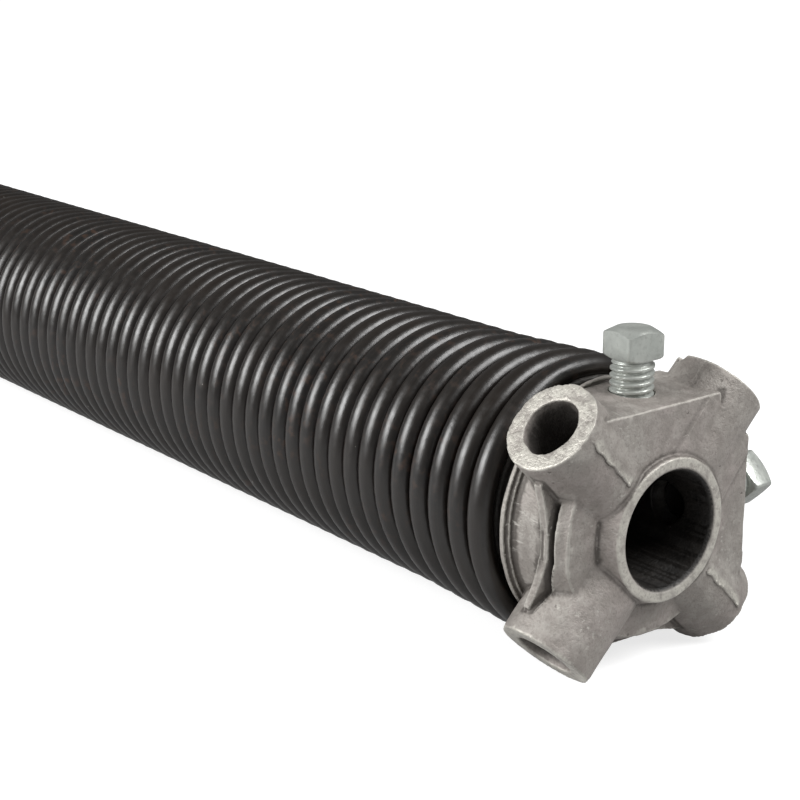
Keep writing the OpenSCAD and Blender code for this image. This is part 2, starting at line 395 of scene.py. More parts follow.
def thread_distance(x, y, z, first, last):
    """Distance to the wire's own surface, grown by the thread's clearance, over a run of half turns."""
    theta = np.mod(np.arctan2(z, y) + np.pi / 2, 2 * np.pi)
    r = np.hypot(y, z)
    best = np.full(x.shape, 99.0, np.float32)
    for k in range(first, last):
        phi = theta - (0 if k % 2 == 0 else np.pi)
        here = (phi >= 0) & (phi <= np.pi)
        x0, r0 = wire_place(float(k))
        x1, r1 = wire_place(float(k + 1))
        cx = (x0 + x1) / 2 + (x0 - x1) / 2 * np.cos(phi)
        cr = (r0 + r1) / 2 + (r0 - r1) / 2 * np.cos(phi)
        gap = np.hypot(x - cx, r - cr) - THREAD_R
        best = np.where(here, np.minimum(best, gap), best)
    return best


HALF = np.sqrt(0.5)
CORNERS = ((1, 1), (-1, 1), (-1, -1), (1, -1))


def from_socket(y, z, corner):
    """How far out along one socket's axis, and how far to its side."""
    sy, sz = corner
    return (sy * y + sz * z) * HALF, (sy * y - sz * z) * HALF


def threaded_shell(x, y, z, r):
    """A taper between two crest radii, chamfered at its end, less the wire's own path grown by the
    clearance, and less a run-out behind the flange."""
    taper = np.clip((x - SHELL_END) / (FLANGE_BACK - SHELL_END), 0, 1)
    crest = CREST_IN + (CREST_OUT - CREST_IN) * taper
    chamfer = r + SHELL_END - x - CREST_IN + END_CHAMFER
    outline = both(r - crest, chamfer * 0.707, SOFT)
    shell = both(outline, both(SHELL_END - x, x - FLANGE_BACK - 1, EASED), ROUND)
    near = (x < FLANGE_BACK + 3) & (r > 20)
    groove = np.full(x.shape, 9.0, np.float32)
    groove[near] = thread_distance(
        x[near] + SOCKET_X, y[near], z[near], HALF_TURNS - HELD_HALVES - 2, HALF_TURNS
    )
    shell = without(shell, groove, 0.25)
    run_out = both(both(FLANGE_BACK - 3.4 - x, x - FLANGE_BACK + 0.1, CRISP), 25.2 - r, EASED)
    return without(shell, run_out, CRISP)


def turned_body(x, r, rough, fine):
    """Flange with its lip, drum, shoulder and nose: each is the further of a radius and two planes. The
    shoulder's radius falls and the nose's grows evenly with x, each evened out for its slope."""
    flange = both(r - FLANGE_R + 0.1 * rough, both(FLANGE_BACK + 0.3 - x, x - FLANGE_FRONT, CRISP), EASED)
    lip = both(r - LIP_R + 0.1 * fine, both(FLANGE_BACK - x, x - LIP_FRONT, CRISP), CRISP)
    drum = both(r - DRUM_R + 0.08 * rough, both(FLANGE_BACK - x, x - DRUM_FRONT, EASED), ROUND)
    slope_in = (r - SHOULDER_R + SHOULDER_FALL * (x - SHOULDER_X)) * 0.872
    shoulder = both(slope_in, x - SHOULDER_FRONT + 0.1 * (r - 25), 0.15)
    shoulder = both(shoulder, both(1 - x, x - 9.0, EASED), EASED)
    nose = both((r - NOSE_R - NOSE_FLARE * (NOSE - x)) * 0.94, both(x - NOSE, 4 - x, ROUND), SOFT)
    return np.minimum(join(drum, join(flange, lip, EASED), ROUND), join(shoulder, nose, CRISP))


def plate_between_sockets(x, y, z, r):
    """A thin plate whose free edges are hollowed to shallow arcs; it leans back and thins out where it
    runs up the lower left socket."""
    down = np.clip((-(y + z) * HALF - 21) / 10, 0, 1)
    middle = PLATE_MIDDLE - PLATE_LEAN * down
    edge = ARC_R - np.minimum(np.hypot(y + DRUM_R + ARC_R, z), np.hypot(z + DRUM_R + ARC_R, y))
    slant = edge + 0.1 * (x - middle - 1)
    plate = both(slant, np.abs(x - middle) - PLATE_HALF + 0.2 * down, 0.15)
    return both(plate, both(r - REACH + 3.2, (y + z) * HALF, SOFT), CRISP)


def screw_pad(x, across, up, draft, soft, rough):
    """A block for a set screw, its face falling away a little towards the front, and the height of
    each point above that face."""
    above = up - (PAD_HEIGHT - draft * np.clip(x - SCREW_X, 0, None))
    front = (x - PAD_FRONT) + 0.085 * (up - PAD_HEIGHT)
    top = both(np.abs(across) - PAD_HALF - PAD_SHIFT, above + 0.08 * rough, soft)
    block = both(top, both(front + 0.05 * rough, PAD_BACK - x, ROUND), EASED)
    inner = both(10 - up, (np.abs(across) - up) * HALF + 1.0, ROUND)
    return both(block, inner, 0.7), above


def socket_boss(x, s, q, rough, chips):
    """A round bar out along a diagonal, a little thicker at its root and ragged at its mouth."""
    ragged = 0.4 * np.clip(chips - 0.15, 0, 1) * np.clip((s - REACH + 1.2) / 1.2, 0, 1)
    side = np.hypot(x, q) - BOSS_R - 0.3 * (1 - s / REACH) + 0.1 * rough + ragged
    return both(both(side, s - REACH, CRISP), 6 - s, ROUND)


def low_strip(x, across, up, above, end, rough):
    """Flat fillet from a pad's front down to the socket on its outer side."""
    s = (up - across) * HALF
    q = (up + across) * HALF
    strip = both((x - STRIP_FRONT) * 0.98, both(5 - q, q - 9.9 - 0.15 * rough, SOFT), EASED)
    strip = both(both(strip, 1 - x, EASED), both(9 - s, s - end + 0.4 * rough, SOFT), SOFT)
    return both(strip, above, EASED)


def high_strip(x, across, up, above, end):
    """Flat fillet from a pad's front to the socket between the two pads."""
    s = (up + across) * HALF
    q = (up - across) * HALF
    strip = both((x - 8.9 + 0.05 * (s - 20)) * 0.98, both(1 - q, q - 9.5, SOFT), EASED)
    return both(both(strip, 1 - x, EASED), both(both(6 - s, s - end, SOFT), above, EASED), SOFT)


def gusset(x, across, up, mouth):
    """A thin web that climbs at 45 degrees from a pad's face to the socket between the two pads."""
    ramp_up = (up - PAD_HEIGHT - (across - 13.6)) * HALF
    web = both(ramp_up, np.abs(x - GUSSET_X) - GUSSET_HALF, 0.35)
    web = both(web, both(across - 19, up - 32.4, SOFT), SOFT)
    return both(web, both(PAD_HEIGHT - 3 - up, mouth + 0.3, EASED), SOFT)


def mould_marks(x, y, z, r, rough, fine):
    """How far the skin stands out at the mould's joint: the half that formed the pads is a step proud,
    with ragged flash along the joint, and more flash around the shoulder on the open side."""
    parting = (y + z) * HALF + 0.35 * fine + 0.2 * rough
    outside = np.clip((x - 3.5) / 1.5, 0, 1) * np.clip((r - 17.6) / 0.8, 0, 1)
    outside = outside * np.clip((REACH - 1.0 - np.abs(y - z) * HALF) / 2, 0, 1)
    step = np.clip(0.5 + parting / 0.35, 0, 1) * np.exp(-((np.clip(parting, 0, None) / 4.5) ** 2))
    joint = (0.18 + 0.2 * fine) * np.exp(-(((parting - 0.2) / 0.3) ** 2))
    open_side = np.clip(-(y + z) * HALF - 2, 0, 1)
    ridge = np.exp(-(((x - FLASH_X - 0.35 * rough - 0.2 * fine) / 0.35) ** 2))
    ridge = ridge * np.clip((r - 23) / 0.8, 0, 1)
    around = (FLASH + 0.14 * fine) * ridge * np.clip((26.5 - r) / 1.0, 0, 1) * open_side
    return JOINT_STEP * step * outside, joint * outside, around


def groove_behind_shoulder(x, y, z, r):
    """The gap between the plate and the shoulder, run out along the lower left socket's flanks."""
    part = np.clip((-(y + z) * HALF - 21) / 10.5, 0, 1)
    start = GROOVE_START - 3.0 * part
    end = GROOVE_END - 3.0 * part**0.8
    wall = both(start - x, x - end, CRISP)
    floor = both(GROOVE_R - r, BOSS_R - 0.9 + 1.1 * part**2 - np.abs(y - z) * HALF, EASED)
    carve = both(wall, both(floor, 10.9 + (y + z) * HALF, EASED), CRISP)
    return both(carve, -(y + z) * HALF - 31.5, SOFT)


def with_openings(body, x, y, z, r, fine, wear):
    """The casting less a chip on a pad, the shaft's bore with its chamfer, the four sockets with worn
    mouths, the screw holes and the pockets inside the shell, which cores form between four ribs."""
    chip = np.sqrt((x + 5.0) ** 2 + (y - 19.0) ** 2 + (z - 32.5) ** 2) - 2.2 + 0.6 * fine
    body = without(body, chip, SOFT)
    bore = r - BORE_R - np.clip(x - NOSE + 0.9, 0, 1.2) * 0.9
    body = without(body, bore, 0.25)
    for corner in CORNERS:
        s, q = from_socket(y, z, corner)
        worn = wear * np.clip((s - REACH + 1.6) / 1.6, 0, 1)
        body = without(body, both(np.hypot(x, q) - SOCKET_R + worn, SOCKET_FLOOR - s, SOFT), 0.25)
    for across, up in ((y, z), (z, y)):
        screw = both(np.hypot(x - SCREW_X, across) - SCREW_HOLE_R, 8 - up, 0.1)
        body = without(body, screw, 0.25)
    pocket = both(r - SHELL_INSIDE, np.maximum(x - FLANGE_BACK + 4, BORE_R + 3.2 - r), ROUND)
    for across in (y, z):
        pocket = np.maximum(pocket, 2.0 - np.abs(across))
    return without(body, pocket, ROUND)


def winding_cone_distance(p):
    """Signed distance to the casting, negative inside, for points measured from the sockets' centre.
    Turned parts are distances in x and radius, sockets are round bars, and all meet in fillets."""
    x, y, z = p[:, 0], p[:, 1], p[:, 2]
    r = np.hypot(y, z)
    rough = lattice_noise(p, 5.0, 1)
    fine = lattice_noise(p, 1.6, 2)
    chips = lattice_noise(p, 2.0, 7)

    body = turned_body(x, r, rough, fine)
    body = join(body, plate_between_sockets(x, y, z, r), 0.25)
    faces = []
    for across, up, draft, soft in ((y, z, 0.095, SOFT), (z, y, 0.17, 1.8)):
        pad, above = screw_pad(x, across + PAD_SHIFT, up, draft, soft, rough)
        body = join(body, pad, SOFT)
        faces.append(above)
    for corner in CORNERS:
        s, q = from_socket(y, z, corner)
        body = join(body, socket_boss(x, s, q, rough, chips), 0.45)
    sides = ((y, z, 31.6, 27.5, EASED, 1.5), (z, y, 28.5, 26.0, 0.9, 1.5))
    for above, (across, up, low_end, high_end, low_soft, high_soft) in zip(faces, sides):
        body = join(body, low_strip(x, across, up, above, low_end, rough), low_soft)
        body = join(body, high_strip(x, across, up, above, high_end), high_soft)
    mouth = (y + z) * HALF - REACH
    for across, up, soft in ((y, z, ROUND), (z, y, 1.8)):
        body = join(body, gusset(x, across, up, mouth), soft)

    for mark in mould_marks(x, y, z, r, rough, fine):
        body = body - mark
    body = join(threaded_shell(x, y, z, r), body, SOFT)
    body = body + 0.045 * rough + 0.03 * fine
    for corner in CORNERS:
        body = np.maximum(body, from_socket(y, z, corner)[0] - REACH)
    body = np.maximum(body, x - NOSE + 0.02)
    body = without(body, groove_behind_shoulder(x, y, z, r), EASED)
    wear = 0.28 * lattice_noise(p, 2.6, 5) + 0.1 * fine
    return with_openings(body, x, y, z, r, fine, wear)


def sample(distance, axes):
    """The distance function on a grid of x, y and z values, worked out one slice at a time."""
    yy, zz = np.meshgrid(axes[1], axes[2], indexing="ij")
    field = np.empty([len(a) for a in axes], np.float32)
    for i, x in enumerate(axes[0]):
        p = np.stack([np.full(yy.size, x, np.float32), yy.ravel(), zz.ravel()], axis=-1)
        field[i] = distance(p).reshape(yy.shape)
    return field


def skin(field, axes):
    """Surface of the zero level: one vertex in each cell that the surface crosses, at the mean of its
    edge crossings, and one quad around each grid edge whose ends lie on opposite sides."""
    inside = field < 0
    cells = np.zeros([n - 1 for n in field.shape], np.int8)
    for dx in (0, 1):
        for dy in (0, 1):
            for dz in (0, 1):
                corner = [slice(d, d + n) for d, n in zip((dx, dy, dz), cells.shape)]
                cells += inside[tuple(corner)]
    active = np.argwhere((cells > 0) & (cells < 8))
    number = np.full(cells.shape, -1, np.int64)
    number[tuple(active.T)] = np.arange(len(active))
    total = np.zeros((len(active), 3))
    count = np.zeros((len(active), 1))
    for axis in range(3):
        others = [a for a in range(3) if a != axis]
        for u in (0, 1):
            for v in (0, 1):
                start = active.copy()
                start[:, others[0]] += u
                start[:, others[1]] += v
                end = start.copy()
                end[:, axis] += 1
                a, b = field[tuple(start.T)], field[tuple(end.T)]
                crossed = (a < 0) != (b < 0)
                part = np.where(crossed, a / np.where(crossed, a - b, 1), 0)[:, None]
                from_place = np.stack([axes[i][start[:, i]] for i in range(3)], axis=-1)
                to_place = np.stack([axes[i][end[:, i]] for i in range(3)], axis=-1)
                total += (from_place + part * (to_place - from_place)) * crossed[:, None]
                count += crossed[:, None]
    points = total / count
    quads = []
    for axis in range(3):
        o1, o2 = [(1, 2), (2, 0), (0, 1)][axis]
        lo = [slice(None)] * 3
        hi = [slice(None)] * 3
        lo[axis], hi[axis] = slice(None, -1), slice(1, None)
        a, b = inside[tuple(lo)], inside[tuple(hi)]
        edges = np.argwhere(a != b)
        edges = edges[(edges[:, o1] > 0) & (edges[:, o2] > 0)]
        corners = []
        for u, v in ((1, 1), (0, 1), (0, 0), (1, 0)):
            cell = edges.copy()
            cell[:, o1] -= u
            cell[:, o2] -= v
            corners.append(number[tuple(np.minimum(cell, np.array(number.shape) - 1).T)])
        quad = np.stack(corners, axis=-1)
        flip = ~a[tuple(edges.T)]
        quad[flip] = quad[flip][:, ::-1]
        quads.append(quad)
    quads = np.concatenate(quads)
    return points, quads[(quads >= 0).all(axis=1)]


def slope(distance, p, reach=0.06):
    """Gradient by central differences."""
    ways = reach * np.eye(3, dtype=np.float32)
    return np.stack([(distance(p + way) - distance(p - way)) / (2 * reach) for way in ways], axis=-1)


def settle(distance, points, rounds=2):
    """Points moved onto the zero level along the gradient."""
    for _ in range(rounds):
        p = points.astype(np.float32)
        g = slope(distance, p)
        step = distance(p)[:, None] * g / np.maximum((g * g).sum(-1, keepdims=True), 0.2)
        points = points - np.clip(step, -0.2, 0.2)
    return points


def hollows_and_edges(distance, points, reach=1.6, near=0.45):
    """Two masks. A corner is where the distance function, a little way out, falls short of that way;
    an edge is where the surface curves outward, told by the sum of second differences."""
    p = points.astype(np.float32)
    g = unit(slope(distance, p))
    hollow = 1 - distance((p + reach * g).astype(np.float32)) / reach
    bend = -6 * distance(p)
    for e in np.eye(3, dtype=np.float32):
        bend = bend + distance(p + near * e) + distance(p - near * e)
    return np.clip(hollow * 1.6, 0, 1), np.clip((bend / near**2 - 0.35) / 1.1, 0, 1)


def mask(obj, name, values):
    """A named mask, one number for each vertex."""
    made = obj.data.attributes.new(name, "FLOAT", "POINT")
    made.data.foreach_set("value", values.astype(np.float32))


def cast_piece(name, distance, axes, shift):
    """A casting's skin from its distance function, with its masks."""
    points, quads = skin(sample(distance, axes), axes)
    points = settle(distance, points)
    obj = put_mesh(name, points + [shift, 0, 0], quads.tolist())
    corner, edge = hollows_and_edges(distance, points)
    mask(obj, "corner", corner)
    mask(obj, "edge", edge)
    return obj, points


def thinned(obj, triangles):
    """Collapse edges where the surface is nearly flat until this many triangles are left."""
    modifier = obj.modifiers.new("thin", "DECIMATE")
    modifier.ratio = min(1.0, triangles / (2 * len(obj.data.polygons)))
    depsgraph = bpy.context.evaluated_depsgraph_get()
    mesh = bpy.data.meshes.new_from_object(
        obj.evaluated_get(depsgraph), preserve_all_data_layers=True, depsgraph=depsgraph
    )
    obj.modifiers.clear()
    obj.data = mesh


def steps(start, end, step):
    """Grid values from a start up to an end."""
    return np.arange(start, end, step, dtype=np.float32)


# the grid is fine where the casting is seen and wide inside the coils
FINE, WIDE = ((0.38, 1.0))
CONE_TRIANGLES = 190000
inside_coils = steps(SHELL_END - 1.1, FLANGE_BACK - 1.5, WIDE)
cone_axes = [
    np.concatenate([inside_coils, steps(FLANGE_BACK - 1.4, 12.4, FINE)]),
    steps(-37.5, 37.5, FINE),
    steps(-37.5, 37.5, FINE),
]
winding_cone, cone_points = cast_piece("winding_cone_casting", winding_cone_distance, cone_axes, SOCKET_X)

# the sockets' mouths and the nose's rim are ground flat and bright
cone_x, cone_y, cone_z = cone_points.T
radius_of = np.hypot(cone_y, cone_z)
reach_of = np.full(len(cone_points), -99.0)
hole_of = np.full(len(cone_points), 99.0)
for corner in CORNERS:
    s, q = from_socket(cone_y, cone_z, corner)
    reach_of = np.maximum(reach_of, s)
    hole_of = np.minimum(hole_of, np.where(s > SOCKET_FLOOR - 1, np.hypot(cone_x, q), 99.0))
mouths = np.clip((reach_of - REACH + 0.35) / 0.2, 0, 1)
rim = np.clip((cone_x - NOSE + 0.35) / 0.2, 0, 1) * np.clip((radius_of - BORE_R - 0.95) / 0.15, 0, 1)
mask(winding_cone, "ground", np.maximum(mouths, rim))

# the shaft's bore, the screw holes, the sockets, the groove behind the shoulder
# and the back of the flange are painted dark: painted shade in these recesses, with grease in the bore
shade_and_grease = np.clip((BORE_R + 0.75 - radius_of) / 0.3, 0, 1) * np.clip((NOSE + 0.6 - cone_x) / 0.8, 0, 1)
in_groove = np.clip((1.0 - np.abs(cone_x - 2.3)) / 0.3, 0, 1) * np.clip((26.3 - radius_of) / 1.2, 0, 1)
in_groove = in_groove * np.clip(-(cone_y + cone_z) * HALF - 8, 0, 1)
in_groove = in_groove * np.clip((30 - reach_of) / 2, 0, 1) * (radius_of > 20)
behind = np.clip((FLANGE_BACK + 0.2 - cone_x) / 0.2, 0, 1) * (radius_of > 20)
for across, up in ((cone_y, cone_z), (cone_z, cone_y)):
    from_screw = np.hypot(cone_x - SCREW_X, across)
    shade_and_grease = np.maximum(shade_and_grease, (from_screw < SCREW_HOLE_R + 0.3) * (up > 8) * (up < 19.0))
shade_and_grease = np.maximum(shade_and_grease, np.maximum(0.6 * in_groove, 0.9 * behind))
in_socket = np.clip((SOCKET_R + 0.35 - hole_of) / 0.3, 0, 1)
in_socket = in_socket * np.clip((REACH - 0.6 - reach_of) / 2.0, 0, 1)
mask(winding_cone, "shade_and_grease", np.maximum(shade_and_grease, 0.8 * in_socket))
thinned(winding_cone, CONE_TRIANGLES)

CAST_DULL, CAST_PALE = (0.31, 0.285, 0.262), (0.40, 0.378, 0.348)
CAST_PINK = (0.36, 0.318, 0.300)
CAST_MOTTLE, CAST_GRAIN = (0.235, 0.212, 0.192), (0.20, 0.18, 0.165)
CORNER_SHADE = (0.085, 0.075, 0.066)
CAST_SCUFF, CAST_PIT = (0.52, 0.50, 0.46), (0.10, 0.085, 0.075)
RUBBED_EDGE, GROUND_FACE = (0.58, 0.56, 0.51), (0.54, 0.52, 0.465)
BLACK_SHADE_GREASE, BROWN_SHADE_GREASE = (0.005, 0.0045, 0.004), (0.016, 0.013, 0.010)
CAST_METALLIC = 0.35


def cast_aluminium():
    """As-cast aluminium: a grey skin mottled by the die, darkened by painted shade in the corners, rubbed
    bright on its edges and ground mouths, with pits, scuffs and fine grain; painted shade and grease
    darken the bores and recesses."""
    made, tree, shader = new_material("cast_aluminium", (0.40, 0.38, 0.35), CAST_METALLIC, 0.5)
    where = node(tree, "ShaderNodeTexCoord").outputs["Object"]
    edge = node(tree, "ShaderNodeAttribute", attribute_name="edge").outputs["Fac"]
    corner = node(tree, "ShaderNodeAttribute", attribute_name="corner").outputs["Fac"]
    ground = node(tree, "ShaderNodeAttribute", attribute_name="ground").outputs["Fac"]
    shade_and_grease = node(tree, "ShaderNodeAttribute", attribute_name="shade_and_grease").outputs["Fac"]
    cloud = blotches(tree, 90.0, 2.4)
    mottle = blotches(tree, 330.0, 2.2)
    grain = blotches(tree, 1500.0, 2.0)
    base = mixed(tree, cloud, CAST_DULL, CAST_PALE)
    wide = blotches(tree, 42.0, 2.6)
    base = mixed(tree, ramp(tree, wide, [(0.45, 0.0), (0.75, 0.7)]), base, CAST_PINK)
    base = mixed(tree, ramp(tree, mottle, [(0.3, 0.6), (0.75, 0.0)]), base, CAST_MOTTLE)
    base = mixed(tree, ramp(tree, grain, [(0.2, 0.5), (0.45, 0.0)]), base, CAST_GRAIN)
    # painted shade: the corner mask darkens corners, creases and recesses
    base = mixed(tree, ramp(tree, corner, [(0.11, 0.0), (0.5, 0.85)]), base, CORNER_SHADE)
    scuffs = node(tree, "ShaderNodeMapping", {"Vector": where})
    scuffs.inputs["Rotation"].default_value = (0.5, 0.9, 0.4)
    scuffs.inputs["Scale"].default_value = (160.0, 900.0, 900.0)
    stretched = {"Vector": scuffs.outputs[0]}
    scuff = node(tree, "ShaderNodeTexNoise", stretched, Scale=1.0, Detail=3.0, Roughness=0.6)
    scuffed = ramp(tree, scuff.outputs["Fac"], [(0.6, 0.0), (0.68, 1.0)])
    marks = maths(tree, "MULTIPLY", scuffed, ramp(tree, cloud, [(0.5, 0.0), (0.8, 0.7)]))
    base = mixed(tree, marks, base, CAST_SCUFF)
    worn = ramp(tree, mottle, [(0.2, 0.5), (0.7, 1.0)])
    rubbed = maths(tree, "MULTIPLY", ramp(tree, edge, [(0.3, 0.0), (0.9, 1.0)]), worn)
    base = mixed(tree, maths(tree, "MULTIPLY", rubbed, 0.55), base, RUBBED_EDGE)
    bright = maths(tree, "MULTIPLY", ground, ramp(tree, mottle, [(0.25, 0.25), (0.6, 1.0)]))
    bright = maths(tree, "MULTIPLY", bright, ramp(tree, grain, [(0.25, 0.45), (0.5, 1.0)]))
    base = mixed(tree, bright, base, GROUND_FACE)
    pits = node(tree, "ShaderNodeTexVoronoi", {"Vector": where}, Scale=300.0, Randomness=1.0)
    hollow = ramp(tree, pits.outputs["Distance"], [(0.08, 1.0), (0.14, 0.0)])
    pitted = ramp(tree, blotches(tree, 120.0, 3.0), [(0.7, 0.0), (0.85, 1.0)])
    pit = maths(tree, "MULTIPLY", hollow, pitted)
    base = mixed(tree, maths(tree, "MULTIPLY", pit, 0.8), base, CAST_PIT)
    # painted shade and grease: near black and less metallic where that mask is set
    shade_grease_colour = mixed(tree, mottle, BLACK_SHADE_GREASE, BROWN_SHADE_GREASE)
    base = mixed(tree, shade_and_grease, base, shade_grease_colour)
    tree.links.new(base, shader.inputs["Base Color"])
    metal = maths(tree, "SUBTRACT", CAST_METALLIC, maths(tree, "MULTIPLY", shade_and_grease, CAST_METALLIC))
    tree.links.new(metal, shader.inputs["Metallic"])
    rough = mixed(tree, ground, ramp(tree, mottle, [(0.2, 0.5), (0.8, 0.64)]), (0.4, 0.4, 0.4))
    tree.links.new(rough, shader.inputs["Roughness"])
    height = maths(tree, "MULTIPLY", mottle, 0.8)
    height = maths(tree, "ADD", height, maths(tree, "MULTIPLY", grain, 0.35))
    height = maths(tree, "SUBTRACT", height, maths(tree, "MULTIPLY", pit, 1.2))
    height = maths(tree, "SUBTRACT", height, maths(tree, "MULTIPLY", marks, 0.3))
    bump = node(tree, "ShaderNodeBump", {"Height": height}, Strength=0.75, Distance=0.0003)
    tree.links.new(bump.outputs[0], shader.inputs["Normal"])
    return made


CAST = cast_aluminium()
winding_cone.data.materials.append(CAST)
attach(winding_cone, "winding_end")
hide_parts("winding_cone")

# --------------------------------------------------------------- the set screws
# Two 3/8 inch square-head screws, cold headed, thread-rolled and zinc plated.
# Each stands in a pad of the winding cone and is driven in against the shaft.

THREAD_OUT, THREAD_IN, THREAD_PITCH = 4.75, 4.05, 1.5875
SCREW_LENGTH = 19.0
HEAD_HALF, HEAD_HEIGHT = 4.75, 6.7
HEAD_CORNER_R, HEAD_ROUNDING = 6.45, 9
CROWN_R, CROWN_FALL = 4.0, 0.45
HEAD_Z = PAD_HEIGHT + 7.0
CUP_R = 3.6
SHANK_RINGS, SHANK_SIDES, HEAD_SIDES = 180, 64, 128


def shank_points(rings, sides):
    """Radius as a function of height and angle: a rounded ridge that climbs one pitch a turn, fading
    to the core at the cup point and under the head. The first ring and the last lie on the axis."""
    z = np.linspace(-SCREW_LENGTH, 0.4, rings)[:, None]
    a = np.linspace(0, 2 * np.pi, sides, endpoint=False)[None, :]
    wave = 0.5 + 0.5 * np.cos(2 * np.pi * (z / THREAD_PITCH - a / (2 * np.pi)))
    ridge = np.clip(wave * 1.35 - 0.1, 0, 1) ** 0.8
    fade = np.clip((z + SCREW_LENGTH) / 1.6, 0, 1) * np.clip((-0.3 - z) / 0.8, 0, 1)
    r = THREAD_IN + (THREAD_OUT - THREAD_IN) * ridge * fade
    r = np.minimum(r, CUP_R + (z + SCREW_LENGTH) * 1.1)
    body = np.stack([r * np.cos(a), r * np.sin(a), z + 0 * a], axis=-1)
    cup = body[:1] * [0.45, 0.45, 1] + [0, 0, 0.9]
    return np.concatenate([cup, body, body[-1:] * [0.2, 0.2, 1]]).reshape(-1, 3)


def head_points(sides):
    """Rings of a square with small round corners, cut at the top by a shallow cone: each ring is the
    square's radius at that angle, or the cone's where that is less, and the top is slightly dished."""
    a = np.linspace(0, 2 * np.pi, sides, endpoint=False)
    square = HEAD_HALF / np.maximum(np.abs(np.cos(a)), np.abs(np.sin(a)))
    rounded = np.exp(-HEAD_ROUNDING * square) + np.exp(-HEAD_ROUNDING * HEAD_CORNER_R)
    square = -np.log(rounded) / HEAD_ROUNDING
    corner = HEAD_HEIGHT - 0.15 - (square - CROWN_R) * CROWN_FALL
    foot = (square - HEAD_HALF) * 0.3
    flat = 0 * square
    rings = [
        (flat + 3.0, flat),
        (square - 0.6, foot * 0.5),
        (square - 0.12, foot + 0.12),
        (square, foot + 0.45),
        (square, corner * 0.5),
        (square, corner - 0.35),
        (square - 0.07, corner - 0.02),
        (CROWN_R + (square - CROWN_R) * 0.5, (corner + HEAD_HEIGHT) / 2 - 0.05),
        (flat + CROWN_R, flat + HEAD_HEIGHT - 0.05),
        (flat + CROWN_R - 0.35, flat + HEAD_HEIGHT),
        (flat + CROWN_R - 1.2, flat + HEAD_HEIGHT - 0.08),
        (flat + 1.5, flat + HEAD_HEIGHT - 0.22),
        (flat + 0.3, flat + HEAD_HEIGHT - 0.26),
    ]
    points = [np.stack([r * np.cos(a), r * np.sin(a), z], axis=-1) for r, z in rings]
    return np.concatenate(points), len(rings)


ZINC_DARK, ZINC_PALE = (0.36, 0.38, 0.355), (0.50, 0.52, 0.485)
ZINC_SPOT = (0.30, 0.31, 0.29)
SHAFT_END_SHADE = (0.02, 0.018, 0.016)


def zinc_plate():
    """Zinc over steel: a faint cloudy green-grey with a few duller spots,
    with rolled and sheared marks."""
    made, tree, shader = new_material("zinc_plated_steel", (0.55, 0.57, 0.54), 0.5, 0.3)
    where = node(tree, "ShaderNodeTexCoord").outputs["Object"]
    cloud = blotches(tree, 260.0, 2.4)
    spots = blotches(tree, 900.0, 2.6)
    base = mixed(tree, cloud, ZINC_DARK, ZINC_PALE)
    base = mixed(tree, ramp(tree, spots, [(0.6, 0.0), (0.9, 0.5)]), base, ZINC_SPOT)
    # painted shade: the screw's inner end, down in its hole, is darkened
    shade_and_grease = node(tree, "ShaderNodeAttribute", attribute_name="shade_and_grease").outputs["Fac"]
    base = mixed(tree, shade_and_grease, base, SHAFT_END_SHADE)
    tree.links.new(base, shader.inputs["Base Color"])
    tree.links.new(ramp(tree, spots, [(0.2, 0.3), (0.8, 0.46)]), shader.inputs["Roughness"])
    lines = node(tree, "ShaderNodeMapping", {"Vector": where})
    lines.inputs["Scale"].default_value = (1500.0, 1500.0, 260.0)
    streak = node(tree, "ShaderNodeTexNoise", {"Vector": lines.outputs[0]}, Scale=1.0, Detail=3.0)
    height = maths(tree, "MULTIPLY", cloud, 0.9)
    height = maths(tree, "ADD", height, maths(tree, "MULTIPLY", streak.outputs["Fac"], 0.5))
    bump = node(tree, "ShaderNodeBump", {"Height": height}, Strength=0.35, Distance=0.0002)
    tree.links.new(bump.outputs[0], shader.inputs["Normal"])
    return made


ZINC = zinc_plate()
shank = shank_points(SHANK_RINGS, SHANK_SIDES)
head, head_rings = head_points(HEAD_SIDES)
shank_faces = tube_faces(SHANK_RINGS + 2, SHANK_SIDES)
head_faces = [[i + len(shank) for i in f] for f in tube_faces(head_rings, HEAD_SIDES)]
# the side screw is the top one laid over, so that its length runs along y
for name, body, head_turn, lay in (
    ("set_screw_top", "screw_top", 82, np.eye(3)),
    ("set_screw_side", "screw_side", 45, np.array([[1, 0, 0], [0, 0, 1], [0, -1, 0]])),
):
    c, s = np.cos(np.radians(head_turn)), np.sin(np.radians(head_turn))
    turned = head @ np.array([[c, s, 0], [-s, c, 0], [0, 0, 1]])
    screw_points = np.concatenate([shank, turned]) + [SCREW_X + SOCKET_X, 0, HEAD_Z]
    screw = put_mesh(name, screw_points @ lay.T, shank_faces + head_faces)
    # painted shade: the last millimetres of the screw's inner end are marked for darkening
    mask(screw, "shade_and_grease", np.clip((21.0 - screw_points[:, 2]) / 1.5, 0, 1))
    screw.data.set_sharp_from_angle(angle=np.radians(38))
    screw.data.materials.append(ZINC)
    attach(screw, body)
    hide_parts(name)

# ---------------------------------------------------------- the stationary cone
# The spring's other end: one casting of the same alloy, a mounting plate with
# two bolt holes, gussets, a collar and a hollow threaded shell.

PLATE_T = 6.4
PLATE_R = 32.74
EAR_R = 11.45
BOLT_Y, BOLT_R = 34.15, 5.15
PLATE_BORE_R = 16.7
COLLAR_END = 13.4
COLLAR_R = 27.4
BOLT_SEAT_R = 8.5
INNER_X = 52.41
GUSSET_SIDE, GUSSET_REACH = 10, 3.8
PLATE_TRIANGLES = 120000


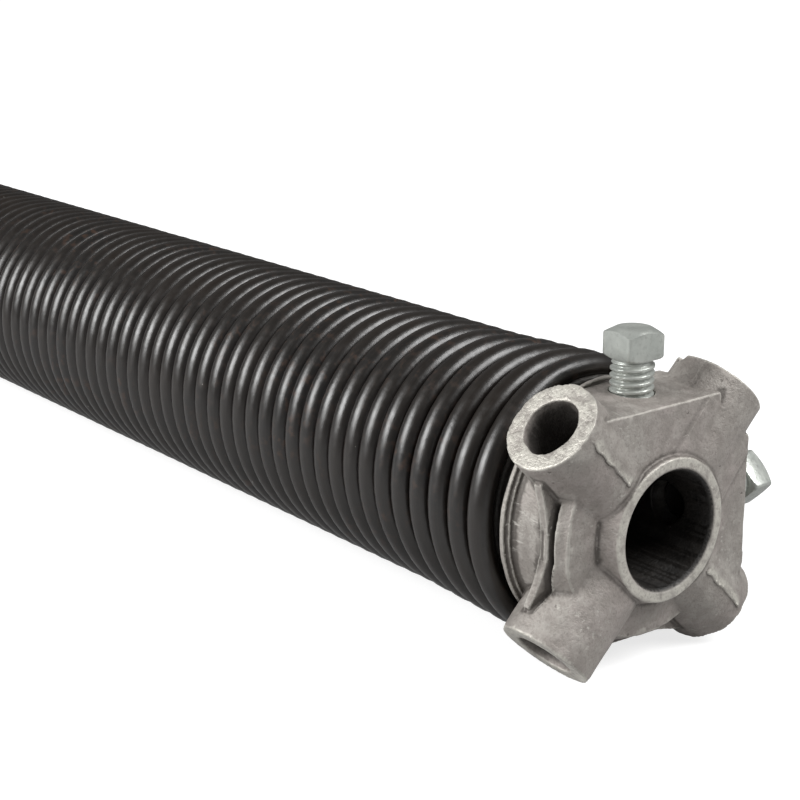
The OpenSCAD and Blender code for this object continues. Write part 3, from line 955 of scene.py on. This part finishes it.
def stationary_cone_distance(p):
    """Signed distance to the casting: the plate is two ears and a round middle joined by straight
    sides, and the rest is distances in x and radius."""
    x, y, z = p[:, 0], p[:, 1], p[:, 2]
    r = np.hypot(y, z)
    rough = lattice_noise(p + 40, 5.0, 1)
    fine = lattice_noise(p + 40, 1.6, 2)
    side = np.abs(y)
    cosine = (PLATE_R - EAR_R) / BOLT_Y
    sine = np.sqrt(1 - cosine**2)
    straight = side * cosine + np.abs(z) * sine - PLATE_R
    bounded = np.maximum(straight, side - BOLT_Y - EAR_R * cosine)
    ear = np.hypot(side - BOLT_Y, z) - EAR_R
    outline = join(np.minimum(r - PLATE_R, ear), np.maximum(bounded, np.abs(z) - PLATE_R * sine), 0.2)
    plate = both(outline + 0.08 * rough, np.abs(x - PLATE_T / 2) - PLATE_T / 2, 0.7)
    taper = np.clip((x - COLLAR_END) / (INNER_X - COLLAR_END), 0, 1)
    crest = CREST_OUT + (CREST_IN - CREST_OUT) * taper
    chamfer = r + x - INNER_X - CREST_IN + END_CHAMFER
    shell = both(both(r - crest, chamfer * 0.707, SOFT), both(x - INNER_X, 1 - x, EASED), ROUND)
    groove = np.full(x.shape, 9.0, np.float32)
    near = (x > 7) & (r > 20)
    groove[near] = thread_distance(x[near], y[near], z[near], 0, HELD_HALVES + 2)
    shell = without(shell, groove, 0.25)
    collar = both(r - COLLAR_R, both(x - COLLAR_END + 0.3, 2 - x, SOFT), SOFT)
    body = join(plate, join(shell, collar, EASED), 1.0)
    for shift in (-GUSSET_SIDE, GUSSET_SIDE):
        height = (x - PLATE_T - 0.3 - 0.5 * (BOLT_Y + GUSSET_REACH - side)) * 0.9
        ends = both(side - BOLT_Y - GUSSET_REACH, 20 - side, ROUND)
        rib = both(both(height, np.abs(z - shift) - 1.5, ROUND), ends, ROUND)
        body = join(body, both(rib, both(2 - x, x - COLLAR_END + 1, SOFT), EASED), 0.7)
    body = body + 0.05 * rough + 0.035 * fine
    body = without(body, r - PLATE_BORE_R, 0.35)
    body = without(body, both(r - SHELL_INSIDE, PLATE_T + 2.6 - x, 0.8), ROUND)
    seat = both(np.hypot(side - BOLT_Y, z) - BOLT_SEAT_R, PLATE_T - x, EASED)
    body = without(body, seat, EASED)
    body = without(body, np.hypot(side - BOLT_Y, z) - BOLT_R, 0.35)
    return np.maximum(body, np.maximum(0.03 - x, side - BOLT_Y - EAR_R + 0.03))


inside_coils = steps(COLLAR_END + 1.2, INNER_X + 1.4, WIDE)
plate_axes = [
    np.concatenate([steps(-1.2, COLLAR_END + 0.5, FINE * 1.3), inside_coils]),
    steps(-46.8, 46.8, FINE * 1.3),
    steps(-33.9, 33.9, FINE * 1.3),
]
stationary_cone, plate_points = cast_piece(
    "stationary_cone_casting", stationary_cone_distance, plate_axes, 0
)
mask(stationary_cone, "ground", np.clip((0.35 - plate_points[:, 0]) / 0.2, 0, 1))
mask(stationary_cone, "shade_and_grease", np.zeros(len(plate_points)))
thinned(stationary_cone, PLATE_TRIANGLES)
stationary_cone.data.materials.append(CAST)
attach(stationary_cone, "stationary_end")
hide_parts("stationary_cone")

# --------------------------------------------------- floor, light and camera
# A plain pale floor that runs out of sight, one soft lamp in front to the left,
# one high to the right, and a camera looking at the winding cone from in front
# and a little above. The metal mirrors the floor and the world only dimly.

FLOOR_GREY = 0.42
FLOOR_MIRRORED = 0.2
WORLD_LIGHT = 0.18
BRIGHT_MIDDLE = (0.35, 0.0, 0.0)
CAMERA_RIGHT = (0.624503, 0.781020, 0.001717)
CAMERA_UP = (-0.223451, 0.176564, 0.958590)
CAMERA_BACK = (0.748375, -0.599026, 0.284784)
CAMERA_PLACE = ((SOCKET_X + 241.727) * MM, -257.880 * MM, 130.042 * MM)

floor_z = cad_box[0][2]
bpy.ops.mesh.primitive_plane_add(size=40.0, location=(0, 0, floor_z - 0.0002))
floor = bpy.context.object
floor.name = "floor"
paper, tree, shader = new_material("pale_floor", (FLOOR_GREY, FLOOR_GREY, FLOOR_GREY), 0.0, 0.95)
shader.inputs["Specular IOR Level"].default_value = 0.0
where = node(tree, "ShaderNodeTexCoord").outputs["Object"]
from_part = node(tree, "ShaderNodeVectorMath", {0: where}, operation="DISTANCE")
from_part.inputs[1].default_value = BRIGHT_MIDDLE
glow = ramp(tree, from_part.outputs["Value"], [(0.25, 0.76), (0.8, 1.0)])
rays = node(tree, "ShaderNodeLightPath")
mirrored = maths(tree, "MULTIPLY", rays.outputs["Is Glossy Ray"], FLOOR_MIRRORED)
seen = maths(tree, "MAXIMUM", rays.outputs["Is Camera Ray"], mirrored)
tree.links.new(maths(tree, "MULTIPLY", glow, seen), shader.inputs["Emission Strength"])
shader.inputs["Emission Color"].default_value = (1, 1, 1, 1)
paper.cycles.emission_sampling = "NONE"
floor.data.materials.append(paper)

world = bpy.data.worlds.new("studio")
bpy.context.scene.world = world
world.use_nodes = True
tree = world.node_tree
background = tree.nodes["Background"]
background.inputs["Color"].default_value = (1, 1, 1, 1)
rays = node(tree, "ShaderNodeLightPath")
plain = maths(tree, "MAXIMUM", rays.outputs["Is Camera Ray"], WORLD_LIGHT)
tree.links.new(plain, background.inputs["Strength"])
world.cycles.sampling_method = "NONE"


def lamp(name, place, aim, size, power):
    """A soft oblong lamp turned to face a point."""
    data = bpy.data.lights.new(name, "AREA")
    data.shape = "RECTANGLE"
    data.size, data.size_y = size
    data.energy = power
    obj = bpy.data.objects.new(name, data)
    obj.location = place
    obj.rotation_euler = (Vector(aim) - Vector(place)).to_track_quat("-Z", "Y").to_euler()
    bpy.context.scene.collection.objects.link(obj)


lamp("key", (0.12, -0.92, 0.52), (0.42, 0, 0), (0.8, 0.42), 14.5)
lamp("top", (1.15, 0.4, 0.85), (0.5, 0, 0), (0.6, 0.6), 13.0)

camera_data = bpy.data.cameras.new("camera")
camera_data.lens = 77.76
camera_data.sensor_width = 36.0
camera_data.clip_start = 0.01
camera = bpy.data.objects.new("camera", camera_data)
turn = Matrix((CAMERA_RIGHT, CAMERA_UP, CAMERA_BACK)).transposed().to_4x4()
turn.translation = CAMERA_PLACE
camera.matrix_world = turn
bpy.context.scene.collection.objects.link(camera)
bpy.context.scene.camera = camera
bpy.context.scene.view_settings.view_transform = "Standard"
